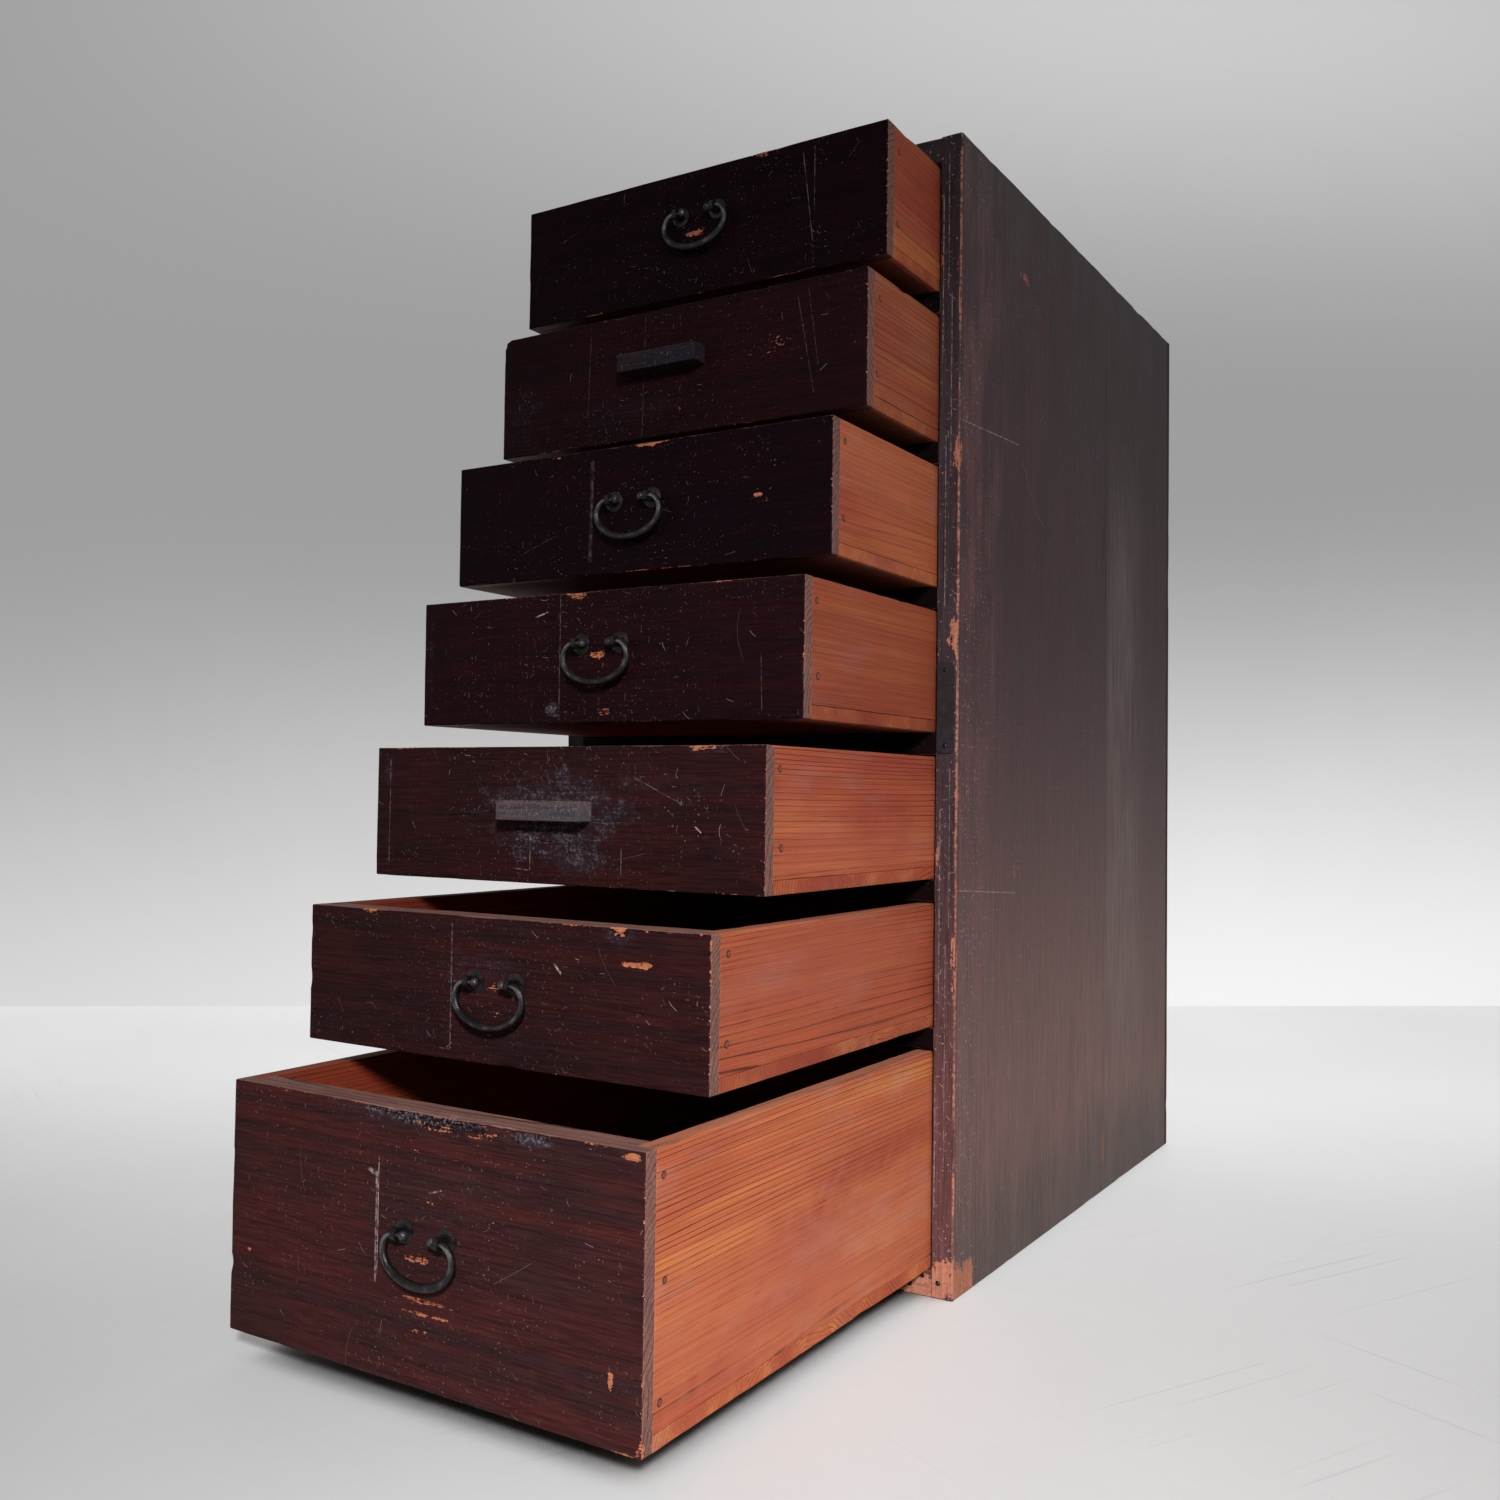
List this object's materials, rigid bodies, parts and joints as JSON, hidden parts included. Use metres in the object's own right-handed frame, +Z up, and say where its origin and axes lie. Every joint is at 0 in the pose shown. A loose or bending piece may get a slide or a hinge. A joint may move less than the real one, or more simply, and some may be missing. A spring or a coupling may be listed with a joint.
{
  "type": "drawer cabinet",
  "caption": "Narrow upright wooden cabinet with a stack of pegged drawers that slide on rails and runners, pulled by swinging iron bails or wooden bars.",
  "frame": {"origin": "middle of the case's footprint, on the floor", "axes": "+Z up, -Y towards someone who faces the drawer fronts, +X to that person's right"},
  "size_m": [0.34, 0.8647, 0.8],
  "materials": {
    "case_wood": "thin, dark grey-brown stain and old lacquer, dull and scuffed",
    "front_wood": "dark red-brown lacquer with a soft sheen, scratched down to orange wood in places",
    "drawer_wood": "bare, orange-brown softwood with straight dark grain, rubbed smooth",
    "back_wood": "bare, rough and dusty brown softwood",
    "iron": "forged, blackened iron, rubbed grey where it is held"
  },
  "bodies": {
    "case": {"side_left_front_board": "case_wood", "side_left_back_board": "case_wood", "side_right_front_board": "case_wood", "side_right_back_board": "case_wood", "top_board": "case_wood", "base_board": "case_wood", "back_boards": "back_wood", "front_rails": "case_wood", "runners_left": "drawer_wood", "runners_right": "drawer_wood", "iron_plate": "iron", "case_nails": "iron"},
    "drawer_1": {"drawer_1_front": "front_wood", "drawer_1_side_left": "drawer_wood", "drawer_1_side_right": "drawer_wood", "drawer_1_back": "drawer_wood", "drawer_1_bottom": "drawer_wood", "drawer_1_eye_pins": "iron"},
    "bail_1": {"drawer_1_bail": "iron"},
    "drawer_2": {"drawer_2_front": "front_wood", "drawer_2_side_left": "drawer_wood", "drawer_2_side_right": "drawer_wood", "drawer_2_back": "drawer_wood", "drawer_2_bottom": "drawer_wood", "drawer_2_bar_pull": "front_wood"},
    "drawer_3": {"drawer_3_front": "front_wood", "drawer_3_side_left": "drawer_wood", "drawer_3_side_right": "drawer_wood", "drawer_3_back": "drawer_wood", "drawer_3_bottom": "drawer_wood", "drawer_3_eye_pins": "iron"},
    "bail_3": {"drawer_3_bail": "iron"},
    "drawer_4": {"drawer_4_front": "front_wood", "drawer_4_side_left": "drawer_wood", "drawer_4_side_right": "drawer_wood", "drawer_4_back": "drawer_wood", "drawer_4_bottom": "drawer_wood", "drawer_4_eye_pins": "iron"},
    "bail_4": {"drawer_4_bail": "iron"},
    "drawer_5": {"drawer_5_front": "front_wood", "drawer_5_side_left": "drawer_wood", "drawer_5_side_right": "drawer_wood", "drawer_5_back": "drawer_wood", "drawer_5_bottom": "drawer_wood", "drawer_5_bar_pull": "front_wood"},
    "drawer_6": {"drawer_6_front": "front_wood", "drawer_6_side_left": "drawer_wood", "drawer_6_side_right": "drawer_wood", "drawer_6_back": "drawer_wood", "drawer_6_bottom": "drawer_wood", "drawer_6_eye_pins": "iron"},
    "bail_6": {"drawer_6_bail": "iron"},
    "drawer_7": {"drawer_7_front": "front_wood", "drawer_7_side_left": "drawer_wood", "drawer_7_side_right": "drawer_wood", "drawer_7_back": "drawer_wood", "drawer_7_bottom": "drawer_wood", "drawer_7_eye_pins": "iron"},
    "bail_7": {"drawer_7_bail": "iron"}
  },
  "joints": [
    {"name": "drawer_1_slide", "type": "slide", "parent": "case", "child": "drawer_1", "axis": [0, -1, 0], "range_m": [-0.078, 0.342]},
    {"name": "bail_1_hinge", "type": "hinge", "parent": "drawer_1", "child": "bail_1", "pos_m": [0.004, -0.3467, 0.7488], "axis": [-1, 0, 0], "range_deg": [-6, 180]},
    {"name": "drawer_2_slide", "type": "slide", "parent": "case", "child": "drawer_2", "axis": [0, -1, 0], "range_m": [-0.104, 0.316]},
    {"name": "drawer_3_slide", "type": "slide", "parent": "case", "child": "drawer_3", "axis": [0, -1, 0], "range_m": [-0.148, 0.272]},
    {"name": "bail_3_hinge", "type": "hinge", "parent": "drawer_3", "child": "bail_3", "pos_m": [0.0025, -0.4167, 0.5328], "axis": [-1, 0, 0], "range_deg": [-6, 180]},
    {"name": "drawer_4_slide", "type": "slide", "parent": "case", "child": "drawer_4", "axis": [0, -1, 0], "range_m": [-0.18, 0.24]},
    {"name": "bail_4_hinge", "type": "hinge", "parent": "drawer_4", "child": "bail_4", "pos_m": [0.0025, -0.4487, 0.4348], "axis": [-1, 0, 0], "range_deg": [-6, 180]},
    {"name": "drawer_5_slide", "type": "slide", "parent": "case", "child": "drawer_5", "axis": [0, -1, 0], "range_m": [-0.221, 0.199]},
    {"name": "drawer_6_slide", "type": "slide", "parent": "case", "child": "drawer_6", "axis": [0, -1, 0], "range_m": [-0.274, 0.146]},
    {"name": "bail_6_hinge", "type": "hinge", "parent": "drawer_6", "child": "bail_6", "pos_m": [0.0035, -0.5427, 0.2298], "axis": [-1, 0, 0], "range_deg": [-6, 180]},
    {"name": "drawer_7_slide", "type": "slide", "parent": "case", "child": "drawer_7", "axis": [0, -1, 0], "range_m": [-0.329, 0.091]},
    {"name": "bail_7_hinge", "type": "hinge", "parent": "drawer_7", "child": "bail_7", "pos_m": [0.0065, -0.5977, 0.1003], "axis": [-1, 0, 0], "range_deg": [-6, 180]}
  ]
}
